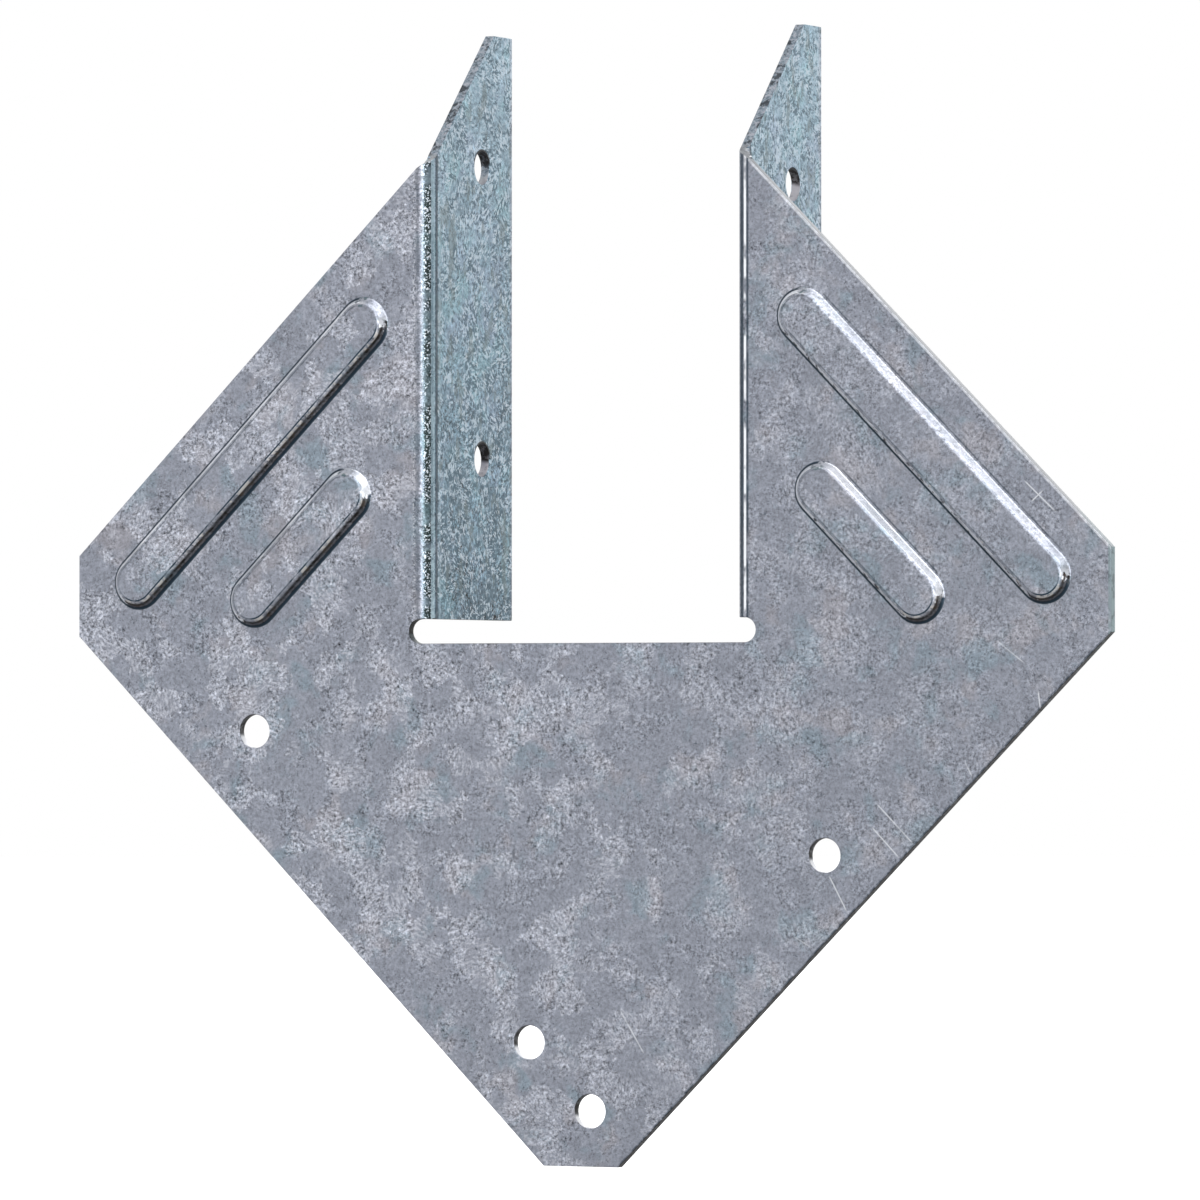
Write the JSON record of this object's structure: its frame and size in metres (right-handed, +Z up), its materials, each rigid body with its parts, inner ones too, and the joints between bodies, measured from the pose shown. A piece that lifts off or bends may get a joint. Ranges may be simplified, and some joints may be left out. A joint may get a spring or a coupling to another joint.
{
  "type": "hurricane tie",
  "caption": "Folded sheet-steel tie: a square plate on its corner, ribbed wings and two flanges that hold a rafter to a wall plate.",
  "frame": {"origin": "on the plate's back face, on the centre line, halfway between the slot's lower edge and the trimmed bottom corner", "axes": "+X to the right seen from the front, +Y back towards the wall that the plate is nailed to, +Z up along the flanges"},
  "size_m": [0.134, 0.023, 0.134],
  "materials": {
    "galvanised_sheet": "hot-dip galvanised with fine mottled spangle, satin"
  },
  "bodies": {
    "root": {"tie_plate": "galvanised_sheet"}
  },
  "joints": []
}
